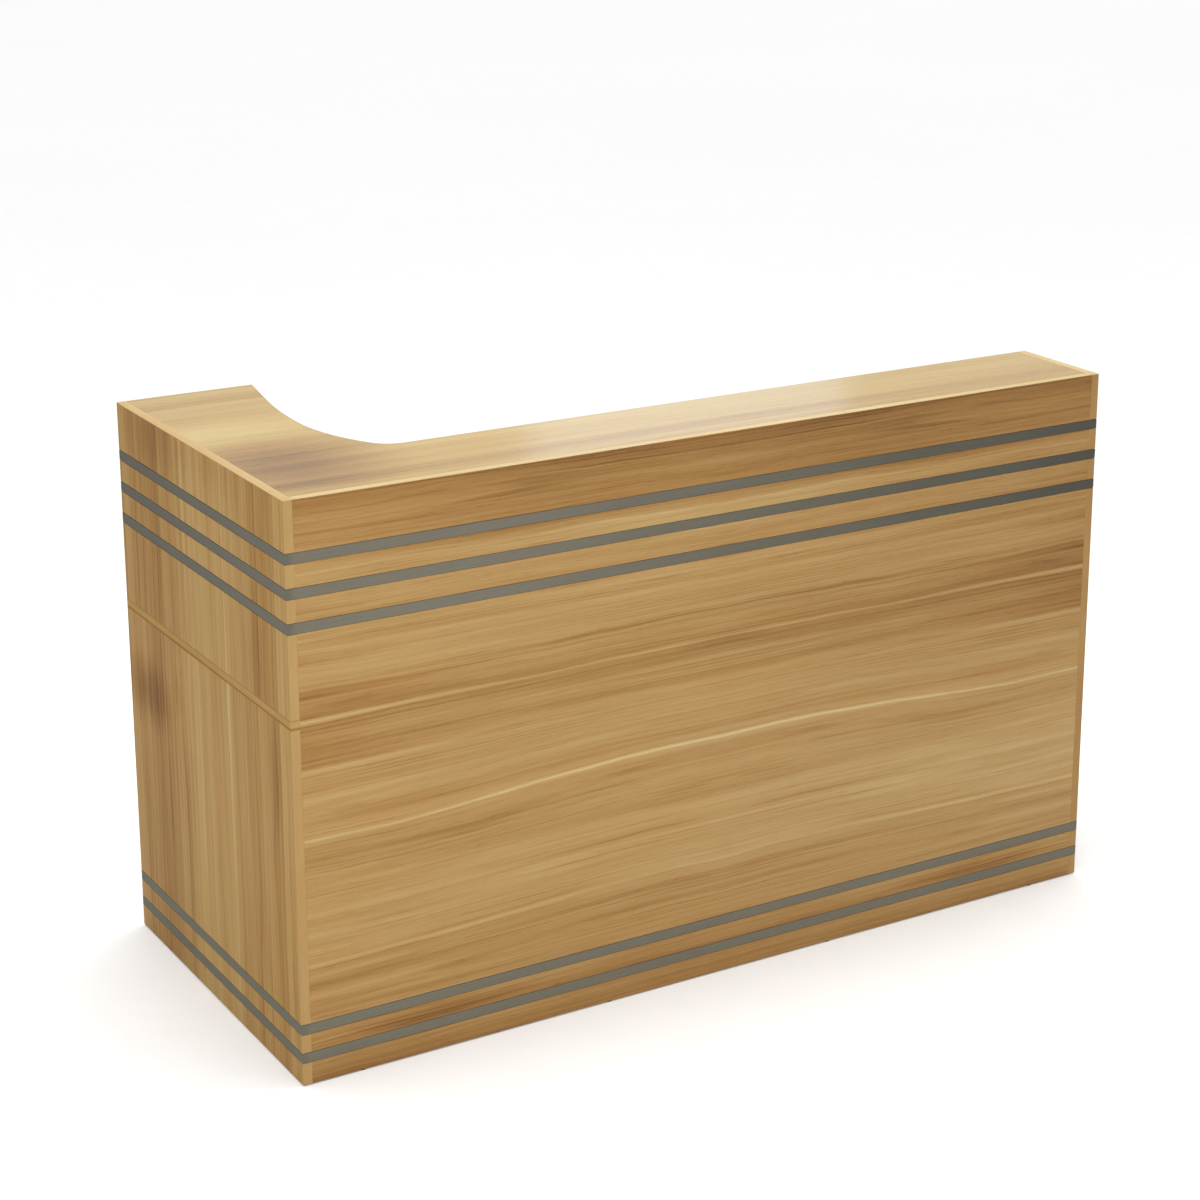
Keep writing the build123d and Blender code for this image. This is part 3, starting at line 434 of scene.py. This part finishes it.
def speckled(name, colour, other, scale, roughness, bump, metallic=0.0, brushed=None):
    """A plain finish with fine mottling; brushed gives the stretch of its texture along the three axes."""
    s = Shader(name, Metallic=metallic, Specular_IOR_Level=0.5)
    stretch = s.node("Mapping")
    s.feed(stretch.inputs["Vector"], s.point)
    stretch.inputs["Scale"].default_value = brushed or (1.0, 1.0, 1.0)
    cloud = s.noise(s.point, 9.0, 2.0)
    fine = s.noise(stretch.outputs[0], scale, 3.0, 0.6)
    share = s.total(0.5, s.around(cloud, 0.25), s.around(fine, 0.25))
    s.feed(s.bsdf.inputs["Base Color"], s.blend(s.math("ADD", share, 0.0, clamp=True), colour, other))
    s.feed(s.bsdf.inputs["Roughness"], s.math("MULTIPLY_ADD", fine, 0.2, roughness - 0.1))
    s.bump(fine, bump, FINE_BUMP_METRES)
    return s.material


INLAY_DARK = linear(84, 82, 73, EXPOSURE)
INLAY_LIGHT = linear(134, 128, 112, EXPOSURE)
INLAY_TONE = 0.62
INLAY_PAINTED_SHADE_X = (-0.4, 0.9)              # where painted shade makes the front strips darker towards the right end
INLAY_FACE_X = (0.02, 0.005)            # metres from the left end over which its own strips, with their painted shade, take over
INLAY_END_PAINTED_SHADE = (0.24, 0.50)          # how much darker the painted shade makes those at the front and at the back
INLAY_STRETCH = (14.0, 14.0, 420.0)     # long brushed marks along the strips
UPPER_STRIPS = (0.2, 0.9)               # from the height of the lower strips to that of the upper ones


def inlay_material():
    """Grey foil strips with painted shade: darker towards the right end of the upper front ones, and darker
    on the left end.
    """
    s = Shader("grey_inlay", Specular_IOR_Level=0.05)
    brushed = s.node("Mapping")
    s.feed(brushed.inputs["Vector"], s.point)
    brushed.inputs["Scale"].default_value = INLAY_STRETCH
    fine = s.noise(brushed.outputs[0], 1.0, 3.0, 0.6)
    cloud = s.noise(s.point, 3.0, 2.0)
    right_painted_shade = s.math("MULTIPLY", s.span(s.at["X"], *INLAY_PAINTED_SHADE_X), s.span(s.at["Z"], *UPPER_STRIPS))
    # painted shade on the left end's strips, darker towards the back
    end = s.math("MULTIPLY", s.span(s.at["Y"], -HALF_DEPTH, HALF_DEPTH, *INLAY_END_PAINTED_SHADE),
                 s.span(s.at["X"], *(metres - HALF_LENGTH for metres in INLAY_FACE_X)))
    end = s.math("MULTIPLY", end, s.span(s.at["Z"], *UPPER_STRIPS, 0.6, 1.0))
    tone = s.total(s.math("MULTIPLY_ADD", right_painted_shade, -INLAY_TONE, INLAY_TONE), s.math("MULTIPLY", end, -1.0),
                   s.around(cloud, 0.06), s.around(fine, 0.06))
    s.feed(s.bsdf.inputs["Base Color"], s.ramp(tone, [(0.0, INLAY_DARK), (1.0, INLAY_LIGHT)]))
    s.feed(s.bsdf.inputs["Roughness"], s.math("MULTIPLY_ADD", fine, 0.15, 0.36))
    s.bump(fine, 0.12, FINE_BUMP_METRES)
    return s.material


# Painted shade: the dark lines at the bottom and top of the edge stand in for shadow gaps at the joints.
SEAM_STOPS = [(0.684, 0.26), (0.6878, 0.34), (0.6895, 0.58), (0.6990, 0.62), (0.7008, 0.44), (0.702, 0.34)]
SEAM_LOW, SEAM_HIGH = 0.680, 0.704


def seam_painted_shade_tone(s):
    """The work surface's edge: light, with painted shade as thin dark lines at the joints above and below
    it.
    """
    stops = [((z - SEAM_LOW) / (SEAM_HIGH - SEAM_LOW), tone) for z, tone in SEAM_STOPS]
    return s.ramp(s.span(s.at["Z"], SEAM_LOW, SEAM_HIGH), stops)


RIM_SIDE_PAINTED_SHADE = (0.58, 0.46)                 # tone of the bands' faces at the left and the right end: painted shade, duller towards the right
RIM_TOP_PAINTED_HIGHLIGHT = (0.74, 0.92)                  # tone of the top rim on the left end and everywhere else: a painted highlight, dimmer on the left end
RIM_TURN = (0.010, 0.030)               # metres from the left end over which the top rim's painted highlight changes
RIM_DEPTH = (0.0016, 0.0002)            # metres under the top over which the side turns into the rim


def rim_painted_light_tone(s):
    """The outer panels' bands, with painted light: painted shade duller towards the right end, and a painted
    highlight along the top rim.
    """
    side = s.span(s.at["X"], -HALF_LENGTH, HALF_LENGTH, *RIM_SIDE_PAINTED_SHADE)
    rim = s.span(s.at["X"], *(metres - HALF_LENGTH for metres in RIM_TURN), *RIM_TOP_PAINTED_HIGHLIGHT)
    return s.span(s.at["Z"], *(HEIGHT - metres for metres in RIM_DEPTH), side, rim)


MATERIALS = {
    "desktop_edge_bands": edge_material("seam_edge", 5.0, seam_painted_shade_tone, 0.0, (0.08, 0.08, 1.0)),
    "outer_panel_edge_bands": edge_material("rim_edge", 8.0, rim_painted_light_tone, stretched=(1.0, 1.0, 0.06)),
    "front_panel": front_wood,
    "left_upper_side_panel": left_upper_wood,
    "left_lower_side_panel": left_lower_wood,
    "right_side_panel": right_wood,
    "counter_top": top_wood,
    "desktop": desk_wood,
}
BOARD_GRAIN = {
    "riser_divider_left": ("Z", "Y"), "riser_divider_middle": ("Z", "Y"), "riser_divider_right": ("Z", "Y"),
    "riser_shelf": ("X", "Y"), "wing_divider": ("Z", "X"), "wing_end_panel": ("Z", "X"),
    "pedestal_side_panel": ("Z", "Y"), "pedestal_bottom_board": ("X", "Y"), "pedestal_kickboard": ("X", "Z"),
    "cupboard_shelf": ("X", "Y"), "shelf_unit_partition": ("Z", "Y"), "shelf_unit_bottom_board": ("X", "Y"),
    "shelf_unit_kickboard": ("X", "Z"), "shelf_unit_shelf": ("X", "Y"), "keyboard_tray": ("X", "Y"),
}
BOARD_SEED = 40.0
BOARD_SEED_STEP = 3.1
for number, (board, (grain, across)) in enumerate(sorted(BOARD_GRAIN.items())):
    MATERIALS[board] = board_wood("wood_" + board, grain, across, BOARD_SEED + BOARD_SEED_STEP * number)
fronts_wood = board_wood("wood_fronts", "Z", "X", 91.0)
MATERIALS["drawer_front"] = MATERIALS["cupboard_door"] = fronts_wood

SLOT_MATERIALS = {
    "edge_band": edge_material("edge_band", 2.0),
    "grey_inlay": inlay_material(),
    "drawer_box": speckled("drawer_box", linear(214, 212, 206, EXPOSURE), linear(226, 224, 219, EXPOSURE),
                           700.0, 0.45, 0.12),
    "zinc_steel": speckled("zinc_steel", linear(150, 153, 156), linear(186, 189, 192),
                           160.0, 0.38, 0.10, 1.0, (1.0, 0.2, 1.0)),
    "satin_nickel": speckled("satin_nickel", linear(176, 172, 164), linear(201, 197, 189),
                             900.0, 0.32, 0.10, 1.0, (0.05, 1.0, 1.0)),
    "cap_plastic": speckled("cap_plastic", linear(172, 138, 92, EXPOSURE), linear(186, 152, 104, EXPOSURE),
                            900.0, 0.42, 0.10),
    "dark_plastic": speckled("dark_plastic", linear(38, 38, 40), linear(52, 52, 54), 1400.0, 0.48, 0.25),
}
SLOTS_AT_LOAD = {name: node.data.materials[0].name for name, node in NODES.items()}

for name, node in NODES.items():
    finish = MATERIALS.get(name) or SLOT_MATERIALS[SLOTS_AT_LOAD[name]]
    for index in range(len(node.data.materials)):
        node.data.materials[index] = finish


# ---------------------------------------------------------------- soft corners on the CAD parts
WELD_METRES = 0.000005
FLAT_DEGREES = 0.2
CORNER_DEGREES = 50


def geometry_group(name):
    group = bpy.data.node_groups.new(name, "GeometryNodeTree")
    for way in ("INPUT", "OUTPUT"):
        group.interface.new_socket("Geometry", in_out=way, socket_type="NodeSocketGeometry")
    return group


def welded_group():
    """Joins the faces of an imported part, so that a bevel can follow its edges."""
    group = geometry_group("welded")
    entry = group.nodes.new("NodeGroupInput")
    merge = group.nodes.new("GeometryNodeMergeByDistance")
    merge.inputs["Distance"].default_value = WELD_METRES
    forget = group.nodes.new("GeometryNodeRemoveAttribute")
    forget.inputs["Name"].default_value = "custom_normal"
    flat = group.nodes.new("GeometryNodeSetShadeSmooth")
    flat.inputs["Shade Smooth"].default_value = False
    leave = group.nodes.new("NodeGroupOutput")
    links = group.links
    links.new(entry.outputs[0], merge.inputs["Geometry"])
    links.new(merge.outputs[0], forget.inputs["Geometry"])
    links.new(forget.outputs[0], flat.inputs["Geometry"])
    links.new(flat.outputs[0], leave.inputs[0])
    return group


WELDED = welded_group()


def held_group(name, corners):
    """Keeps every point of a part inside its own box: a bevel can leave it where two solids touch."""
    group = geometry_group(name)
    entry = group.nodes.new("NodeGroupInput")
    held = group.nodes.new("GeometryNodeInputPosition").outputs[0]
    for operation, pick in (("MAXIMUM", min), ("MINIMUM", max)):
        limit = group.nodes.new("ShaderNodeVectorMath")
        limit.operation = operation
        group.links.new(held, limit.inputs[0])
        limit.inputs[1].default_value = [pick(corner[axis] for corner in corners) for axis in range(3)]
        held = limit.outputs[0]
    move = group.nodes.new("GeometryNodeSetPosition")
    leave = group.nodes.new("NodeGroupOutput")
    group.links.new(entry.outputs[0], move.inputs["Geometry"])
    group.links.new(held, move.inputs["Position"])
    group.links.new(move.outputs[0], leave.inputs[0])
    return group


def soften(node, width):
    weld = node.modifiers.new("welded", "NODES")
    weld.node_group = WELDED
    dissolve = node.modifiers.new("flat_faces", "DECIMATE")
    dissolve.decimate_type = "DISSOLVE"
    dissolve.angle_limit = math.radians(FLAT_DEGREES)
    bevel = node.modifiers.new("soft_corners", "BEVEL")
    bevel.width = width
    bevel.segments = 2
    bevel.limit_method = "ANGLE"
    bevel.angle_limit = math.radians(CORNER_DEGREES)
    bevel.use_clamp_overlap = node.name in SOFT_LOCK
    bevel.harden_normals = True
    if node.name in HELD_PARTS:
        hold = node.modifiers.new("held", "NODES")
        hold.node_group = held_group("held_" + node.name, node.bound_box)


# Bevel widths in millimetres, by slot and then for the two parts of the lock.
SOFT_CORNERS = {"laminate": 0.35, "edge_band": 0.35, "drawer_box": 0.4, "zinc_steel": 0.15,
                "dark_plastic": 0.4, "cap_plastic": 0.2}
SOFT_LOCK = {"lock_housing": 0.4, "lock_plug": 0.25}
HELD_PARTS = {"outer_panel_edge_bands", "door_edge_bands", "drawer_front_edge_bands"}
for name, node in NODES.items():
    width = SOFT_LOCK.get(name) or SOFT_CORNERS.get(SLOTS_AT_LOAD[name])
    if width:
        soften(node, width * MM)


# ---------------------------------------------------------------- screws of the hinges, handles and runners
HEAD_SEGMENTS = 28
HEAD_PROFILE = ((1.0, 0.0), (1.0, 0.35), (0.94, 0.74), (0.82, 1.0))     # shares of the radius and the height
CROSS_REACH = 0.56
CROSS_HALF = 0.15
CROSS_TAPER = 0.6
CROSS_DEPTH = 0.75
random.seed(12)


def add_head(bm, centre, facing, radius, height):
    """A screw head with a cross recess, standing on a face that looks along facing."""
    turned = Matrix.Rotation(random.uniform(0.0, math.pi / 2), 4, "Z")
    place = Matrix.Translation(centre) @ facing.to_track_quat("Z", "Y").to_matrix().to_4x4() @ turned

    def loop(points, level):
        return [bm.verts.new(place @ Vector((radius * x, radius * y, height * level))) for x, y in points]

    def band(lower, upper):
        for index in range(len(lower)):
            after = (index + 1) % len(lower)
            bm.faces.new((lower[index], lower[after], upper[after], upper[index]))

    def rim(ring):
        return [bm.edges.get((a, b)) or bm.edges.new((a, b)) for a, b in zip(ring, ring[1:] + ring[:1])]

    angles = [2 * math.pi * index / HEAD_SEGMENTS for index in range(HEAD_SEGMENTS)]
    circle = [(math.cos(angle), math.sin(angle)) for angle in angles]
    rings = [loop([(share * x, share * y) for x, y in circle], level) for share, level in HEAD_PROFILE]
    for lower, upper in zip(rings, rings[1:]):
        band(lower, upper)
    bm.faces.new(rings[0][::-1])
    arm = [(CROSS_REACH, -CROSS_HALF), (CROSS_REACH, CROSS_HALF), (CROSS_HALF, CROSS_HALF)]
    cross = [(x * c - y * n, x * n + y * c) for c, n in ((1, 0), (0, 1), (-1, 0), (0, -1)) for x, y in arm]
    mouth = loop(cross, 1.0)
    bmesh.ops.triangle_fill(bm, use_beauty=True, edges=rim(rings[-1]) + rim(mouth))
    deep = loop([(CROSS_TAPER * x, CROSS_TAPER * y) for x, y in cross], 1.0 - CROSS_DEPTH)
    band(mouth, deep)
    bmesh.ops.triangulate(bm, faces=[bm.faces.new(deep)])


def screws(name, body, spots, facing, radius, height):
    """Screw heads as one piece; spots are metres, radius and height millimetres."""
    bm = bmesh.new()
    for spot in spots:
        add_head(bm, Vector(spot), Vector(facing), radius * MM, height * MM)
    bmesh.ops.recalc_face_normals(bm, faces=bm.faces)
    mesh = bpy.data.meshes.new(name)
    bm.to_mesh(mesh)
    bm.free()
    mesh.materials.append(SLOT_MATERIALS["zinc_steel"])
    piece = bpy.data.objects.new(name, mesh)
    bpy.context.scene.collection.objects.link(piece)
    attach(piece, body)


SHEET = 1.2 * MM                    # hinge leaves and runner members
HINGE_HALF = 30 * MM
HINGE_SPOTS = ((-21, 9), (0, 19), (21, 9))      # along and across a leaf, millimetres
HINGE_HEAD = (3.3, 0.13)            # radius and height of the heads, millimetres
HANDLE_HALF = 64 * MM
HANDLE_HEAD = (4.2, 1.8)
RUNNER_WIDE = 12.7 * MM
RUNNER_SHARES = (0.07, 0.36, 0.64, 0.93)        # places along a runner
RUNNER_HEAD = (3.2, 0.7)

door_edge_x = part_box("door_edge_bands")[0][0]
for body, node, facing in (("carcass", "hinge_fixed_leaves", 1), ("door", "hinge_moving_leaves", -1)):
    low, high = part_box(node)
    face_x = low[0] + SHEET if facing > 0 else door_edge_x - SHEET
    spots = [(face_x, low[1] + across * MM, middle + along * MM)
             for middle in (low[2] + HINGE_HALF, high[2] - HINGE_HALF)
             for along, across in HINGE_SPOTS]
    screws("screws_" + node, body, spots, (facing, 0, 0), *HINGE_HEAD)

for body, board, handle, along in (("drawer", "drawer_front", "drawer_handle", Vector((1, 0, 0))),
                                   ("door", "cupboard_door", "door_handle", Vector((0, 0, 1)))):
    low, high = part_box(handle)
    middle = Vector(((low[0] + high[0]) / 2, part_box(board)[0][1], (low[2] + high[2]) / 2))
    spots = [middle - HANDLE_HALF * along, middle + HANDLE_HALF * along]
    screws("screws_" + handle, body, spots, (0, -1, 0), *HANDLE_HEAD)

for runner, moving_body in (("drawer", "drawer"), ("tray", "keyboard_shelf")):
    low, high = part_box(runner + "_outer_rails")
    along = [low[1] + share * (high[1] - low[1]) for share in RUNNER_SHARES]
    middle_z = (low[2] + high[2]) / 2
    for hand, wall, facing in (("left", low[0], 1), ("right", high[0], -1)):
        for member, body, depth, way in (("outer", "carcass", SHEET, facing),
                                         ("inner", moving_body, RUNNER_WIDE - SHEET, -facing)):
            spots = [(wall + facing * depth, y, middle_z) for y in along]
            screws("screws_" + "_".join((runner, member, hand)), body, spots, (way, 0, 0), *RUNNER_HEAD)


# ---------------------------------------------------------------- floor, light and camera
def plain_mesh(name, vertices, faces, material):
    mesh = bpy.data.meshes.new(name)
    mesh.from_pydata(vertices, [], faces)
    mesh.materials.append(material)
    thing = bpy.data.objects.new(name, mesh)
    bpy.context.scene.collection.objects.link(thing)
    return thing


FLOOR_HALF = 60.0
floor = plain_mesh(
    "floor",
    [(x * FLOOR_HALF, y * FLOOR_HALF, 0) for x, y in ((-1, -1), (1, -1), (1, 1), (-1, 1))],
    [(0, 1, 2, 3)],
    speckled("floor_white", (0.92, 0.92, 0.92, 1), (0.95, 0.95, 0.95, 1), 0.4, 0.8, 0.0),
)

# Soft studio light from all round: brighter overhead, a little brighter at the right and in front.
SKY_BASE = 0.35
SKY_OVERHEAD = 1.05
SKY_TO_RIGHT = 0.16
SKY_TO_STAFF = -0.06


def studio_world():
    world = bpy.data.worlds.new("studio")
    world.use_nodes = True
    tree = world.node_tree
    coordinates = tree.nodes.new("ShaderNodeTexCoord")
    separate = tree.nodes.new("ShaderNodeSeparateXYZ")
    tree.links.new(coordinates.outputs["Generated"], separate.inputs[0])
    strength = SKY_BASE
    for share, output in zip((SKY_TO_RIGHT, SKY_TO_STAFF, SKY_OVERHEAD), separate.outputs):
        add = tree.nodes.new("ShaderNodeMath")
        add.operation = "MULTIPLY_ADD"
        tree.links.new(output, add.inputs[0])
        add.inputs[1].default_value = share
        if isinstance(strength, float):
            add.inputs[2].default_value = strength
        else:
            tree.links.new(strength, add.inputs[2])
        strength = add.outputs[0]
    background = tree.nodes["Background"]
    background.inputs["Color"].default_value = (1, 1, 1, 1)
    tree.links.new(strength, background.inputs["Strength"])
    bpy.context.scene.world = world


studio_world()


def softbox(name, place, target, width, height, power, colour=(1, 1, 1), mirrored=True):
    """An area light; mirrored says whether glossy surfaces show it."""
    light = bpy.data.lights.new(name, "AREA")
    light.shape = "RECTANGLE"
    light.size = width
    light.size_y = height
    light.energy = power
    light.color = colour
    lamp = bpy.data.objects.new(name, light)
    lamp.location = place
    lamp.rotation_mode = "QUATERNION"
    lamp.rotation_quaternion = (Vector(target) - Vector(place)).to_track_quat("-Z", "Y")
    lamp.visible_camera = False
    lamp.visible_glossy = mirrored
    bpy.context.scene.collection.objects.link(lamp)


softbox("key", place=(-2.2, -3.0, 1.5), target=(-0.6, -0.4, 0.6), width=1.5, height=1.4, power=35,
        mirrored=False)
softbox("overhead", place=(0.0, 0.2, 3.3), target=(0.0, 0.0, 0.0), width=3.4, height=2.4, power=66)
# Dim and low behind the counter: it gives the customer shelf the pale reflection with its slanted edge.
softbox("window", place=(1.63, 2.35, 1.90), target=(0.05, -0.28, 1.1), width=0.98, height=1.3, power=2.2,
        colour=(0.82, 1.0, 1.22))

CAMERA_PLACE = (-2.6197, -4.4254, 2.3788)
CAMERA_RIGHT = Vector((0.85079, -0.52548, 0.00484))
CAMERA_UP = Vector((0.13895, 0.23384, 0.96229))
CAMERA_SHIFT = (-0.0599, -0.1062)
CAMERA_LENS = 80.24
CAMERA_SENSOR = 36.0
camera_data = bpy.data.cameras.new("camera")
camera_data.sensor_width = CAMERA_SENSOR
camera_data.lens = CAMERA_LENS
camera_data.shift_x, camera_data.shift_y = CAMERA_SHIFT
camera = bpy.data.objects.new("camera", camera_data)
turn = Matrix((CAMERA_RIGHT, CAMERA_UP, CAMERA_RIGHT.cross(CAMERA_UP))).transposed()
camera.matrix_world = Matrix.Translation(CAMERA_PLACE) @ turn.to_4x4()
bpy.context.scene.collection.objects.link(camera)
bpy.context.scene.camera = camera
bpy.context.scene.view_settings.view_transform = "Standard"
bpy.context.scene.view_settings.look = "None"
